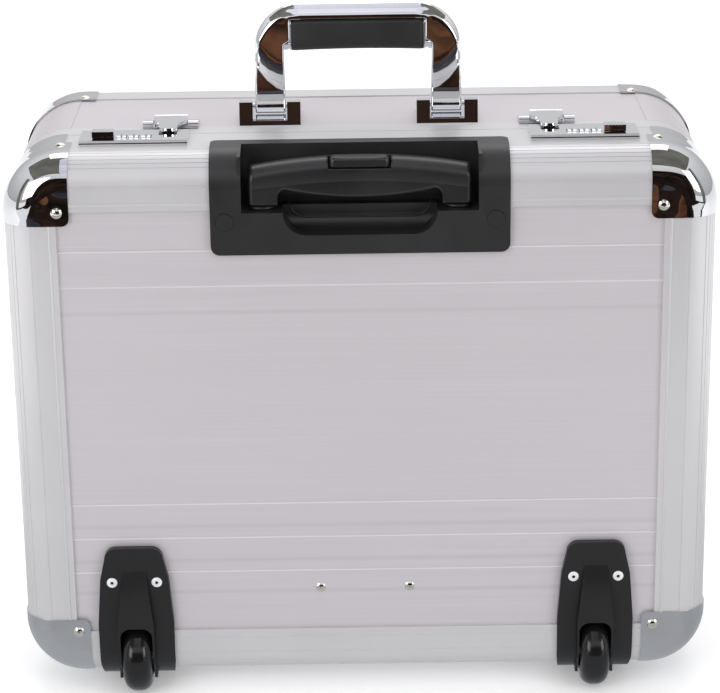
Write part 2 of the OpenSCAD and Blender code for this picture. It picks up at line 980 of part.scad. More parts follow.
back_panel();
back_frame_top();
back_frame_bottom();
back_frame_left();
back_frame_right();
back_corner_caps();
back_rivets();
back_seam_ring();
back_liner();
lock_left();
lock_right();
dial_left_1();
dial_left_2();
dial_left_3();
dial_right_1();
dial_right_2();
dial_right_3();
slide_left();
slide_right();
trolley_cup();
cup_plugs();
outer_tubes();
mid_tubes();
inner_tubes();
tube_bracket();
trolley_grip();
trolley_button();
wheel_housing_left();
wheel_housing_right();
wheel_axles();
hub_left();
hub_right();
tyre_left();
tyre_right();
hinge_leaves_back();
hinge_leaves_front();
hinge_pins();
stay_pivots();
stay_pegs();
stay_left();
stay_right();
front_panel();
front_frame_ends();
front_frame_sides();
front_corner_caps();
front_rivets();
front_seam_ring();
front_band_panels();
front_band_corners();
front_liner();
feet();
handle_bases();
handle_pins();
handle_bail();
handle_grip();
hasp_bases();
hasp_pins();
hasp_left();
hasp_right();
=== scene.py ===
import math

import bmesh
import bpy
from mathutils import Matrix, Vector, noise


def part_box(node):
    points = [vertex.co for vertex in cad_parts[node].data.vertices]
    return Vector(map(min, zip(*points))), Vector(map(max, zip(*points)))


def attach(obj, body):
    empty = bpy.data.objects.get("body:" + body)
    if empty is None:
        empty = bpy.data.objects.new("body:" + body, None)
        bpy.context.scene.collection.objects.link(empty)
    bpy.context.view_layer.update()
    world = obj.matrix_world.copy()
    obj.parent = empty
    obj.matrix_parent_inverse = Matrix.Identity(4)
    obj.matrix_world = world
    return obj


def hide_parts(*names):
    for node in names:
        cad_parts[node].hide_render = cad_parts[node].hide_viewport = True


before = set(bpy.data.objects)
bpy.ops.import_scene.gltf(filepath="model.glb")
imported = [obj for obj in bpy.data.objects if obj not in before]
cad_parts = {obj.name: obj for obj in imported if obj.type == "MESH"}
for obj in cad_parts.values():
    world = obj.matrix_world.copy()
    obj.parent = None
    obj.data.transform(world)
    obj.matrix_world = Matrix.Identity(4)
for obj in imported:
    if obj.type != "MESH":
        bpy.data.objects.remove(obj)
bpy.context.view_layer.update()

# ---------------------------------------------------------------- case coordinates
# Pieces are laid out in millimetres from the middle of the case (x), its back face (y) and its underside (z).
# The corner caps stand a little proud of the case, so their box places it in the frame.
CAP_PROUD = 1.0
cap_low, cap_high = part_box("back_corner_caps")
BASE_Y = cap_low[1] * 1000 + CAP_PROUD
BASE_Z = cap_low[2] * 1000 + CAP_PROUD
TOP = cap_high[2] * 1000 - CAP_PROUD - BASE_Z

SIDES = (("left", -1), ("right", 1))


def at(x, y, z):
    """Case millimetres to metres in the shared frame."""
    return Vector((x / 1000, (y + BASE_Y) / 1000, (z + BASE_Z) / 1000))


def link_object(name, data):
    ob = bpy.data.objects.new(name, data)
    bpy.context.scene.collection.objects.link(ob)
    return ob


# ---------------------------------------------------------------- camera
LENS, SENSOR = 127.36, 36
YAW, PITCH, ROLL = -0.0006, 0.3398, 0.0139
EYE = (-2.26, -1594.5, 805.6)


def add_camera():
    """The photograph's camera, as solved from the outline of the case."""
    data = bpy.data.cameras.new("camera")
    data.sensor_width = SENSOR
    data.sensor_fit = "HORIZONTAL"
    data.lens = LENS
    data.clip_end = 50
    cam = link_object("camera", data)
    ahead = Vector((-math.sin(YAW) * math.cos(PITCH), math.cos(YAW) * math.cos(PITCH), -math.sin(PITCH)))
    level = Vector((math.cos(YAW), math.sin(YAW), 0))
    below = ahead.cross(level)
    right = level * math.cos(ROLL) + below * math.sin(ROLL)
    down = -level * math.sin(ROLL) + below * math.cos(ROLL)
    place = Matrix((right, -down, -ahead)).transposed().to_4x4()
    place.translation = at(*EYE)
    cam.matrix_world = place
    bpy.context.scene.camera = cam


add_camera()


# ---------------------------------------------------------------- materials
class Surface:
    """A small helper that wires a Principled material."""

    def __init__(self, name):
        self.material = bpy.data.materials.new(name)
        self.material.use_nodes = True
        self.tree = self.material.node_tree
        self.tree.nodes.clear()
        out = self.node("ShaderNodeOutputMaterial")
        self.bsdf = self.node("ShaderNodeBsdfPrincipled")
        self.link(self.bsdf.outputs[0], out.inputs[0])

    def node(self, kind, **props):
        made = self.tree.nodes.new(kind)
        for key, value in props.items():
            setattr(made, key, value)
        return made

    def link(self, a, b):
        self.tree.links.new(a, b)

    def set(self, **values):
        for key, value in values.items():
            self.bsdf.inputs[key.replace("_", " ")].default_value = value

    def coords(self, scale=(1, 1, 1), rotation=(0, 0, 0)):
        source = self.node("ShaderNodeTexCoord")
        mapping = self.node("ShaderNodeMapping")
        mapping.inputs["Scale"].default_value = scale
        mapping.inputs["Rotation"].default_value = rotation
        self.link(source.outputs["Object"], mapping.inputs[0])
        return mapping.outputs[0]

    def noise(self, scale, detail, roughness, coords=None):
        texture = self.node("ShaderNodeTexNoise")
        texture.inputs["Scale"].default_value = scale
        texture.inputs["Detail"].default_value = detail
        texture.inputs["Roughness"].default_value = roughness
        self.link(coords if coords is not None else self.coords(), texture.inputs["Vector"])
        return texture.outputs["Fac"]

    def ramp(self, fac, stops):
        """A colour ramp with two stops, each a position and a colour."""
        ramp = self.node("ShaderNodeValToRGB")
        for stop, (position, color) in zip(ramp.color_ramp.elements, stops):
            stop.position = position
            stop.color = (*color, 1)
        self.link(fac, ramp.inputs[0])
        return ramp.outputs[0]

    def span(self, fac, low, high, start, end):
        """Maps start to end onto low to high."""
        made = self.node("ShaderNodeMapRange")
        for key, value in (("From Min", start), ("From Max", end), ("To Min", low), ("To Max", high)):
            made.inputs[key].default_value = value
        self.link(fac, made.inputs[0])
        return made.outputs[0]

    def math(self, operation, a, b):
        made = self.node("ShaderNodeMath", operation=operation)
        for socket, value in zip(made.inputs, (a, b)):
            if isinstance(value, (int, float)):
                socket.default_value = value
            else:
                self.link(value, socket)
        return made.outputs[0]

    def bump(self, height, strength, distance):
        made = self.node("ShaderNodeBump")
        made.inputs["Strength"].default_value = strength
        made.inputs["Distance"].default_value = distance
        self.link(height, made.inputs["Height"])
        self.link(made.outputs[0], self.bsdf.inputs["Normal"])

    def color(self, socket):
        self.link(socket, self.bsdf.inputs["Base Color"])

    def rough(self, socket):
        self.link(socket, self.bsdf.inputs["Roughness"])


def grey(value, tint):
    return (value * tint[0], value * tint[1], value * tint[2])


# Tints: the sheet metal looks faintly lilac, the profiles less so, and the black plastics a little cool.
LILAC = (1.0, 0.952, 0.995)
PALE = (0.994, 0.978, 1.0)
COOL = (1, 1, 1.04)

# How much each layer of noise counts in the tone of brushed metal.
FINE_SHARE, BROAD_SHARE, CLOUD_SHARE = 0.65, 0.20, 0.15


def brushed(name, axis, base, rough, depth, metallic):
    """Brushed aluminium whose streaks run along one axis: 0 for X, 1 for Y, 2 for Z."""
    m = Surface(name)
    layers = []
    for across, lengthwise, detail in ((900, 6, 2), (160, 1.6, 3)):
        stretch = [across, across, across]
        stretch[axis] = lengthwise
        layers.append(m.noise(1.0, detail, 0.6, m.coords(stretch)))
    fine, broad = layers
    cloud = m.noise(5.0, 2, 0.5)
    coarse = m.math("ADD", m.math("MULTIPLY", broad, BROAD_SHARE), m.math("MULTIPLY", cloud, CLOUD_SHARE))
    streaks = m.math("ADD", m.math("MULTIPLY", fine, FINE_SHARE), coarse)
    dark, light = base * (1 - depth), min(base * (1 + depth), 1)
    m.color(m.ramp(streaks, [(0.34, grey(dark, LILAC)), (0.66, grey(light, LILAC))]))
    m.rough(m.span(streaks, rough - 0.07, rough + 0.09, 0.3, 0.7))
    m.bump(fine, 0.12, 0.0002)
    m.set(Metallic=metallic)
    return m.material


def rolled_lines(material, bright, dark):
    """Painted highlights and painted shade across a panel: thin bright painted highlights on the crests of
    its rolled lines and wider soft painted shade in the hollows, at the given heights in mm.
    """
    tree = material.node_tree
    bsdf = tree.nodes["Principled BSDF"]
    base = bsdf.inputs["Base Color"].links[0].from_socket
    coords = tree.nodes.new("ShaderNodeTexCoord")
    split = tree.nodes.new("ShaderNodeSeparateXYZ")
    tree.links.new(coords.outputs["Object"], split.inputs[0])
    # The dark bands are painted shade in the hollows, and the bright bands are painted highlights on the
    # crests.
    for heights, width, share, tone in ((dark, 2.6, 0.30, 0.50), (bright, 0.85, 0.62, 0.95)):
        for z in heights:
            offset = tree.nodes.new("ShaderNodeMath")
            offset.operation = "SUBTRACT"
            offset.inputs[1].default_value = at(0, 0, z).z
            tree.links.new(split.outputs["Z"], offset.inputs[0])
            away = tree.nodes.new("ShaderNodeMath")
            away.operation = "ABSOLUTE"
            tree.links.new(offset.outputs[0], away.inputs[0])
            band = tree.nodes.new("ShaderNodeMapRange")
            band.interpolation_type = "SMOOTHSTEP"
            band.inputs["From Max"].default_value = width / 1000
            band.inputs["To Min"].default_value = share
            band.inputs["To Max"].default_value = 0.0
            tree.links.new(away.outputs[0], band.inputs[0])
            mix = tree.nodes.new("ShaderNodeMix")
            mix.data_type = "RGBA"
            under, over = [socket for socket in mix.inputs if socket.type == "RGBA"]
            over.default_value = (*grey(tone, LILAC), 1)
            tree.links.new(band.outputs[0], mix.inputs["Factor"])
            tree.links.new(base, under)
            base = next(socket for socket in mix.outputs if socket.type == "RGBA")
    tree.links.new(base, bsdf.inputs["Base Color"])
    return material


def satin(name, base, rough, metallic):
    """Anodised extrusion: smooth, with a very fine grain and slight handling marks."""
    m = Surface(name)
    grain = m.noise(1400, 2, 0.6)
    cloud = m.noise(9, 4, 0.55)
    dark, light = base * 0.965, min(1, base * 1.02)
    m.color(m.ramp(cloud, [(0.3, grey(dark, PALE)), (0.7, grey(light, PALE))]))
    m.rough(m.span(cloud, rough - 0.05, rough + 0.06, 0.3, 0.7))
    m.bump(grain, 0.05, 0.0001)
    m.set(Metallic=metallic)
    return m.material


def chrome(name, base, rough=0.035, waves=24, swell=0.0006):
    """Bright plating over a surface that is not quite flat, with faint smears."""
    m = Surface(name)
    wave = m.noise(waves, 1.5, 0.4)
    smear = m.noise(60, 5, 0.6)
    m.rough(m.span(smear, rough * 0.6, rough * 2.0, 0.35, 0.75))
    m.color(m.ramp(smear, [(0.3, tuple(c * 0.97 for c in base)), (0.7, base)]))
    m.bump(wave, 0.6, swell)
    m.set(Metallic=1.0)
    return m.material


def plastic(name, base, rough, grain=900, depth=0.25, shine=0.5):
    """Moulded plastic or rubber with a fine pitted grain."""
    m = Surface(name)
    pits = m.noise(grain, 3, 0.65)
    cloud = m.noise(14, 4, 0.6)
    m.color(m.ramp(cloud, [(0.3, grey(base * 0.8, COOL)), (0.75, grey(base * 1.3, COOL))]))
    m.rough(m.span(cloud, rough - 0.06, rough + 0.08, 0.3, 0.7))
    m.bump(pits, depth, 0.0003)
    m.set(Specular_IOR_Level=shine)
    return m.material


def fabric(name, base):
    """Woven lining cloth: two crossed sets of bands."""
    band_scale = 900 / 6.283
    m = Surface(name)
    waves = []
    for turn in (0.0, math.pi / 2):
        wave = m.node("ShaderNodeTexWave", wave_type="BANDS", bands_direction="X")
        wave.inputs["Scale"].default_value = band_scale
        wave.inputs["Distortion"].default_value = 1.2
        wave.inputs["Detail"].default_value = 1.5
        m.link(m.coords(rotation=(turn, turn, turn)), wave.inputs["Vector"])
        waves.append(wave.outputs["Fac"])
    weave = m.math("MAXIMUM", waves[0], waves[1])
    cloud = m.noise(18, 4, 0.6)
    tone = m.math("ADD", m.math("MULTIPLY", weave, 0.4), m.math("MULTIPLY", cloud, 0.6))
    m.color(m.ramp(tone, [(0.25, tuple(c * 0.7 for c in base)), (0.75, tuple(c * 1.35 for c in base))]))
    m.bump(weave, 0.35, 0.0005)
    m.set(Roughness=0.9, Sheen_Weight=0.25, Sheen_Roughness=0.5)
    return m.material


# Heights of the panel's lines above the underside of the case: painted highlights along the crests, painted
# shade along the hollows.
PAINTED_HIGHLIGHT_HEIGHTS = (309.3, 284.7, 129.3, 104.3, 79.3)
PAINTED_SHADE_HEIGHTS = (266.5, 113.0, 87.5, 64.0)

MATERIALS = {
    # The panel's colour carries painted highlights and painted shade along its lines.
    "panel": rolled_lines(brushed("brushed_panel", 0, 0.665, 0.45, 0.034, 0.45), PAINTED_HIGHLIGHT_HEIGHTS, PAINTED_SHADE_HEIGHTS),
    "band_x": brushed("brushed_band", 0, 0.66, 0.42, 0.04, 0.5),
    "band_z": brushed("brushed_side", 2, 0.66, 0.42, 0.04, 0.5),
    "frame": satin("anodised_frame", 0.675, 0.40, 0.45),
    "pale_rivet": satin("pale_rivet", 0.85, 0.4, 0.2),
    "cap": chrome("cap_chrome", (0.70, 0.71, 0.735), 0.03, 26, 0.0045),
    "chrome": chrome("chrome", (0.84, 0.85, 0.87)),
    "rivet": chrome("rivet_plate", (0.86, 0.83, 0.75), 0.12),
    "steel": satin("plated_steel", 0.70, 0.22, 1.0),
    "tube": chrome("bright_tube", (0.82, 0.83, 0.84), 0.08),
    "black": plastic("black_moulding", 0.010, 0.42, shine=0.85),
    "housing": plastic("wheel_moulding", 0.0065, 0.38, 700, 0.2, shine=0.6),
    "grip": plastic("grip_moulding", 0.010, 0.36, 1200, 0.14, shine=0.8),
    "leather": plastic("grained_grip", 0.019, 0.5, 620, 0.5),
    "paint": plastic("number_paint", 0.012, 0.5),
    "tyre": plastic("tyre_rubber", 0.008, 0.16, 300, 0.04),
    "hub": plastic("hub_moulding", 0.03, 0.35),
    "lining": fabric("lining_cloth", (0.055, 0.060, 0.070)),
}

NODE_MATERIAL = {
    "panel": ["back_panel", "front_panel"],
    "band_x": ["front_band_panels"],
    "band_z": ["front_band_corners"],
    "frame": ["back_frame_top", "back_frame_bottom", "back_frame_left", "back_frame_right",
              "back_seam_ring", "front_seam_ring", "front_frame_ends", "front_frame_sides"],
    "cap": ["back_corner_caps", "front_corner_caps"],
    "chrome": ["lock_left", "lock_right", "slide_left", "slide_right", "handle_bases", "handle_bail",
               "hasp_bases", "hasp_left", "hasp_right", "dial_left_1", "dial_left_2", "dial_left_3",
               "dial_right_1", "dial_right_2", "dial_right_3"],
    "rivet": ["back_rivets", "front_rivets"],
    "steel": ["outer_tubes", "wheel_axles", "hinge_leaves_back", "hinge_leaves_front", "hinge_pins",
              "stay_pivots", "stay_pegs", "stay_left", "stay_right", "handle_pins", "hasp_pins"],
    "tube": ["mid_tubes", "inner_tubes"],
    "black": ["trolley_cup", "cup_plugs", "tube_bracket"],
    "housing": ["wheel_housing_left", "wheel_housing_right", "feet"],
    "grip": ["trolley_grip", "trolley_button", "handle_grip"],
    "tyre": ["tyre_left", "tyre_right"],
    "hub": ["hub_left", "hub_right"],
    "lining": ["back_liner", "front_liner"],
}


def paint_nodes():
    """Gives every CAD node its material."""
    for key, names in NODE_MATERIAL.items():
        for name in names:
            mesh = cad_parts[name].data
            mesh.materials.clear()
            mesh.materials.append(MATERIALS[key])


def paint_housing_rivets():
    """The four tubular rivets of the wheel housings are plain aluminium."""
    inner_x, outer_x, low_z, high_z = 0.12, 0.19, 0.07, 0.10
    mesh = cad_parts["back_rivets"].data
    mesh.materials.append(MATERIALS["pale_rivet"])
    for poly in mesh.polygons:
        if inner_x < abs(poly.center.x) < outer_x and low_z < poly.center.z < high_z:
            poly.material_index = 1


paint_nodes()
paint_housing_rivets()


# ---------------------------------------------------------------- finishing the CAD pieces
def ease(names, width, angle=32.0, segments=3):
    """Rounds the edges of CAD nodes that are sharper than an angle, by a width in millimetres."""
    coplanar = 0.6
    for name in names:
        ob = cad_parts[name]
        for poly in ob.data.polygons:
            poly.use_smooth = True
        flats = ob.modifiers.new("flats", "DECIMATE")
        flats.decimate_type = "DISSOLVE"
        flats.angle_limit = math.radians(coplanar)
        edge = ob.modifiers.new("edges", "BEVEL")
        edge.width = width / 1000
        edge.segments = segments
        edge.limit_method = "ANGLE"
        edge.angle_limit = math.radians(angle)
        edge.miter_outer = "MITER_ARC"
        even = ob.modifiers.new("even", "WEIGHTED_NORMAL")
        even.keep_sharp = True
        even.weight = 80


ease(["trolley_cup"], 1.4, segments=4)
ease(["wheel_housing_left", "wheel_housing_right"], 1.6, segments=4)
ease(["lock_left", "lock_right"], 0.5)
ease(["slide_left", "slide_right"], 0.35, 40)
ease(["hasp_left", "hasp_right", "hasp_bases"], 0.6)
ease(["handle_bases"], 1.1, segments=4)
ease(["feet", "tube_bracket"], 1.5)
ease(["cup_plugs"], 0.4)
ease(["stay_left", "stay_right", "hinge_leaves_back", "hinge_leaves_front"], 0.35)


# ---------------------------------------------------------------- mesh helpers
def mesh_object(name, verts, faces, material):
    mesh = bpy.data.meshes.new(name)
    mesh.from_pydata([tuple(v) for v in verts], [], faces)
    bm = bmesh.new()
    bm.from_mesh(mesh)
    bmesh.ops.remove_doubles(bm, verts=bm.verts, dist=1e-6)
    bmesh.ops.recalc_face_normals(bm, faces=bm.faces)
    bm.to_mesh(mesh)
    bm.free()
    for poly in mesh.polygons:
        poly.use_smooth = True
    mesh.materials.append(material)
    return link_object(name, mesh)


def add_piece(ob, body, slot_name, *replaced):
    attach(ob, body)
    if replaced:
        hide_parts(*replaced)


def skin(rings):
    """Points and four-sided faces of the skin through closed rings with the same count."""
    n = len(rings[0])
    verts = [v for ring in rings for v in ring]
    faces = [(i * n + j, i * n + (j + 1) % n, (i + 1) * n + (j + 1) % n, (i + 1) * n + j)
             for i in range(len(rings) - 1) for j in range(n)]
    return verts, faces


def loft(name, rings, material):
    """A skin through rings of points, closed at both ends."""
    n = len(rings[0])
    verts, faces = skin(rings)
    faces.append(tuple(range(n - 1, -1, -1)))
    faces.append(tuple(range((len(rings) - 1) * n, len(rings) * n)))
    ob = mesh_object(name, verts, faces, material)
    even = ob.modifiers.new("even", "WEIGHTED_NORMAL")
    even.weight = 60
    return ob


def rounded(x0, x1, y0, y1, rx, ry, steps=6):
    """Rounded rectangle with the four corner radii rx, ry given as (x0y0, x1y0, x1y1, x0y1)."""
    points = []
    corners = [(x0, y0, 1, 1, 180), (x1, y0, -1, 1, 270), (x1, y1, -1, -1, 0), (x0, y1, 1, -1, 90)]
    for (cx, cy, sx, sy, start), ax, ay in zip(corners, rx, ry):
        for i in range(steps + 1):
            a = math.radians(start + 90 * i / steps)
            points.append((cx + sx * ax + ax * math.cos(a), cy + sy * ay + ay * math.sin(a)))
    return points


def smooth_step(t):
    t = min(max(t, 0.0), 1.0)
    return t * t * (3 - 2 * t)


def interpolate(points, x):
    """Straight-line interpolation through a list of (x, value)."""
    for (xa, va), (xb, vb) in zip(points, points[1:]):
        if x <= xb:
            return va + (vb - va) * (x - xa) / (xb - xa) if x > xa else va
    return points[-1][1]


# ---------------------------------------------------------------- carry handle
# Heights named h are above the top of the case.
HANDLE_Y = 103.0
# The line across each leg, as (x, h), above which the cast handle thickens.
FACET = [(49.0, 19.5), (55.0, 21.9), (61.5, 27.0), (66.8, 33.4), (68.5, 38.0), (71.0, 44.0)]
# Share of its depth that the handle loses where its inner edge is tucked in.
TUCK = 0.35
# Half the length of the carry grip.
GRIP_HALF = 45


def bail_depth(x, h):
    """Half depth of the cast handle at a point of its outline: thin near the pivots, thick above."""
    thin, added, climb = 4.7, 2.6, 21.0
    foot_loss, foot_top, foot_fade = 0.8, 17, 7
    rise = h - interpolate(FACET, abs(x))
    if rise < 0:
        return thin - foot_loss * min(max((foot_top - h) / foot_fade, 0.0), 1.0) ** 2
    return thin + added * (1 - (1 - min(rise / climb, 1.0)) ** 2)


def bar_profile(t, wide):
    """Half depth, as a share, across the top bar: a quarter round, a leaning face, an upright lip, a tuck."""
    round_width, round_share, lip = 3, 0.5, 1
    leaning = wide - 6.6
    if t < round_width:
        return round_share * math.sqrt(max(0.0, 1 - ((round_width - t) / round_width) ** 2))
    if t < wide - lip:
        return min(round_share + (1 - round_share) * (t - round_width) / leaning, 1.0)
    return 1 - TUCK * (1 - math.sqrt(max(0.0, 1 - (t - wide + lip) ** 2)))


def bail_stations():
    """From a leg's foot to the middle of the bar: outer point, inner point, edge round, depth share, lean."""
    half, inner, top, bar = 70.5, 49.6, 79.0, 10.4
    bend, under_bend = 32.0, 54
    cx, ch = half - bend, top - bend
    foot_h, foot_round = 8, 5
    stations = []
    for h in (3.02, 3.3, 3.9, 4.8, 6.2):
        share = math.sqrt(1 - ((foot_h - h) / foot_round) ** 2)
        stations.append(((half, h), (inner, h), 1.2, share, 0.0))
    for h in [8, 10, 12, 14, 16] + [18 + 0.6 * i for i in range(49)]:
        stations.append(((half, h), (inner, h), 1.6 + 1.6 * smooth_step((h - 25) / 22), 1.0, 0.0))
    grip_end, narrow_h, narrow_over = 45.3, 52, 2.4
    for degrees in range(3, 93, 3):
        a = math.radians(degrees)
        if degrees <= under_bend:
            ih = ch + (top - bar - ch) * degrees / under_bend
            ix = inner - (inner - grip_end) * min(max((ih - narrow_h) / narrow_over, 0), 1)
        else:
            ih, ix = top - bar, grip_end - (grip_end - cx) * (degrees - under_bend) / 36
        soft = 3.2 + 5.8 * smooth_step(degrees / 60)
        lean = smooth_step((degrees - 45) / 35)
        stations.append(((cx + bend * math.cos(a), ch + bend * math.sin(a)), (ix, ih), soft, 1.0, lean))
    for i in range(1, 9):
        x = cx * (1 - i / 8)
        stations.append(((x, top), (x, top - bar), 9.0, 1.0, 1.0))
    return stations


def bail_ring(station, side):
    """The section of the cast handle at one station, near side first."""
    (ox, oh), (ix, ih), soft, scale, lean = station
    wide = math.hypot(ix - ox, ih - oh)
    ux, uh = (ix - ox) / wide, (ih - oh) / wide
    outer = min(soft, wide * 0.9)
    tuck = min(1.4, wide * 0.09)
    across = [(outer * (1 - math.cos(math.radians(a))), math.sin(math.radians(a))) for a in range(0, 90, 10)]
    across += [(outer + (wide - tuck - outer) * k / 22, 1.0) for k in range(23)]
    across += [(wide - tuck + tuck * math.sin(math.radians(a)), 1 - TUCK * (1 - math.cos(math.radians(a))))
               for a in (30, 60, 90)]
    near, far = [], []
    for t, share in across:
        x, h = ox + ux * t, oh + uh * t
        depth = bail_depth(x, h) * (share * (1 - lean) + lean * bar_profile(t, wide)) * scale
        near.append(at(side * x, HANDLE_Y - depth, TOP + h))
        far.append(at(side * x, HANDLE_Y + depth, TOP + h))
    return near + far[::-1]


def build_bail():
    """The cast handle: two flat legs and a leaning top bar in one skin."""
    stations = bail_stations()
    right = [bail_ring(station, 1) for station in stations]
    left = [bail_ring(station, -1) for station in stations[:-1]]
    return loft("carry_bail", left + right[::-1], MATERIALS["chrome"])


def grip_outline(x, grow=0.0):
    """Section of the carry grip at x, as (y, z) points."""
    bow = 1 - (x / GRIP_HALF) ** 2
    end = smooth_step((GRIP_HALF - abs(x)) / 0.8)
    low = TOP + 46.9 + 1.1 * bow + 0.3 * (1 - end) - grow
    high = TOP + 68.4 - 0.4 * (1 - end) + grow * 0.2
    deep = 7.1 + 0.6 * bow - 0.2 * (1 - end) + grow
    return rounded(HANDLE_Y - deep, HANDLE_Y + deep, low, high, (4.8, 4.8, 3.2, 3.2), (4.8, 4.8, 2.6, 2.6))


def build_carry_grip():
    rings = []
    for i in range(33):
        x = -GRIP_HALF + 2 * GRIP_HALF * i / 32
        rings.append([at(x, y, z) for y, z in grip_outline(x)])
    return loft("carry_grip", rings, MATERIALS["leather"])


def build_grip_collars():
    """Bright collars where the grip meets the legs of the handle, as (x, growth) rings."""
    parts = []
    for word, side in SIDES:
        rings = []
        for x, grow in ((44.7, -0.1), (44.75, 0.2), (44.9, 0.3), (45.5, 0.3), (45.7, 0.1), (46.2, -1.2)):
            rings.append([at(side * x, y, z) for y, z in grip_outline(GRIP_HALF, grow)])
        parts.append(loft(f"grip_collar_{word}", rings, MATERIALS["chrome"]))
    return parts


def build_shoulders():
    """Small bright ledges under the ends of the grip, where the bar widens into the legs."""
    outer_x = 50.2
    parts = []
    for word, side in SIDES:
        rings = []
        for h, depth, inner_x in ((47.3, 3.0, 46.4), (47.6, 4.2, 45.8), (49.0, 5.0, 45.6), (51.5, 6.0, 45.5),
                                  (53.0, 6.6, 45.5)):
            outline = rounded(inner_x, outer_x, HANDLE_Y - depth, HANDLE_Y + depth, (0.5,) * 4, (0.5,) * 4, 3)
            rings.append([at(side * x, y, TOP + h) for x, y in outline])
        parts.append(loft(f"grip_shoulder_{word}", rings, MATERIALS["chrome"]))
    return parts


add_piece(build_bail(), "carry_handle", "chrome_fitting", "handle_bail")
add_piece(build_carry_grip(), "carry_handle", "grip_moulding", "handle_grip")
for part in build_grip_collars() + build_shoulders():
    add_piece(part, "carry_handle", "chrome_fitting")


# ---------------------------------------------------------------- trolley grip details
# Half the width of the pocket for the button, and where the flat feet over the tubes start.
NOTCH_HALF, FOOT_X = 20.6, 54
# The top of the pull handle is an arch: its highest point and its radius.
CREST, ARCH_RADIUS = 370, 405.3


def build_button():
    """The release button: a flat cap with a dished top and rounded ends."""
    half, back, floor, top_z = 19.6, 14.35, 363.6, 370.4
    rings = []
    for i in range(29):
        x = -half + 2 * half * i / 28
        end = smooth_step((half - abs(x)) / 2.4)
        dish = 0.9 * smooth_step((15 - abs(x)) / 7)
        top = top_z - 1.8 * (1 - end)
        near = 4.6 + 1.2 * (1 - end)
        mid = (near + back) / 2
        ring = []
        for y, z in rounded(near, back, floor, top, (0.8, 0.8, 1.8, 2.8), (0.8, 0.8, 1.8, 2.8)):
            sink = dish * smooth_step(1 - abs(y - mid) / 5.0) if z > 367 else 0
            ring.append(at(x, y, z - sink))
        rings.append(ring)
    return loft("release_button_cap", rings, MATERIALS["grip"])


def grip_top(x):
    return CREST - ARCH_RADIUS + math.sqrt(ARCH_RADIUS ** 2 - x * x)


def grip_bottom(x):
    """Underside of the pull handle: flat feet over the tubes, a fillet, then a shallow bow."""
    foot_z, fillet, fillet_z, ceiling_z = 338.1, 6, 343, 349
    bow_radius, bow_z = 230, 573.5
    fillet_x = FOOT_X - fillet
    x = abs(x)
    if x >= FOOT_X:
        return foot_z
    low = bow_z - math.sqrt(bow_radius ** 2 - x * x)
    if x > fillet_x:
        low = min(low, fillet_z + math.sqrt(max(fillet ** 2 - (x - fillet_x) ** 2, 0)))
    return min(low, ceiling_z)


def pull_section(x, notch):
    """Section of the pull handle at x, with the pocket for the button cut in when notch is true."""
    straight_x, end_round, low_round, near_round, far_round = 70.2, 2.8, 2.4, 8.5, 9.5
    inset = 1.0 - math.sqrt(max(0.0, 1 - (max(0.0, abs(x) - straight_x) / end_round) ** 2))
    near, far = 3.1 + 3.2 * inset, 23.9 - 3.2 * inset
    low, high = grip_bottom(x) + 1.4 * inset, grip_top(x) - 3.0 * inset
    seam, groove = 354.6 - 4.9 * (x / 70) ** 2, 0.55
    wall = 15
    points = []

    def corner(cy, cz, radius, start, count, least=0.0):
        for i in range(count):
            a = math.radians(start - 90 * i / (count - 1))
            points.append((max(cy + radius * math.cos(a), least), cz + radius * math.sin(a)))

    corner(near + low_round, low + low_round, low_round, 270, 6)
    points.extend([(near, seam - groove), (near + groove, seam), (near, seam + groove)])
    if notch:
        lip = ((0, 361.0), (0, 362.5), (0.3, 363.0), (0.8, 363.0), (1.1, 362.6), (1.1, 361.0), (1.3, 360.7))
        points.extend([(near + dy, z) for dy, z in lip])
        points.extend([(10, 360.7), (14.4, 360.7), (wall, 361.3)])
        points.extend([(wall, high - 0.9), (wall + 0.2, high - 0.5), (wall + 0.4, high - 0.3)])
    else:
        corner(near + near_round, high - near_round, near_round, 180, 8)
        points.extend([(near + 8.8 + (far - near - 18.8) * k / 4, high) for k in range(5)])
    corner(far - far_round, high - far_round, far_round, 90, 10, wall + 0.5 if notch else 0.0)
    corner(far - low_round, low + low_round, low_round, 0, 6)
    return [at(x, y, z) for y, z in points]


def build_trolley_grip():
    """The pull handle: a rounded bar with an arched top, a bowed underside and a pocket for the button."""
    tips = [70.2, 71.5, 72.2, 72.7, 73]
    steps = [NOTCH_HALF, FOOT_X, 53.6, 53, 51, 49.4]
    places = {-70 + 2 * i for i in range(71)} | {side * x for side in (-1, 1) for x in tips + steps}
    rings = []
    for x in sorted(places):
        if abs(x) == NOTCH_HALF:
            rings.extend([pull_section(x, x > 0), pull_section(x, x < 0)])
        elif abs(x) == FOOT_X:
            # A second section just inside makes the foot's inner face upright.
            pair = [pull_section(math.copysign(53.98, x), False), pull_section(x, False)]
            rings.extend(pair if x > 0 else pair[::-1])
        else:
            rings.append(pull_section(x, abs(x) < NOTCH_HALF))
    return loft("trolley_pull", rings, MATERIALS["grip"])


def build_tube_collars():
    """Black collars that close the gap between the telescopic tubes and the grip, as (radius, z) rings."""
    tube_x, tube_y, around = 64.5, 13.5, 40
    parts = []
    for word, side in SIDES:
        rings = []
        for radius, z in ((6.9, 335.7), (9.2, 335.75), (9.4, 336.2), (9.4, 337.3), (9.0, 337.7),
                          (6.0, 337.75)):
            ring = []
            for k in range(around):
                a = 2 * math.pi * k / around
                ring.append(at(side * tube_x + radius * math.cos(a), tube_y + radius * math.sin(a), z))
            rings.append(ring)
        parts.append(mesh_object(f"tube_collar_{word}", *skin(rings), MATERIALS["black"]))
    return parts


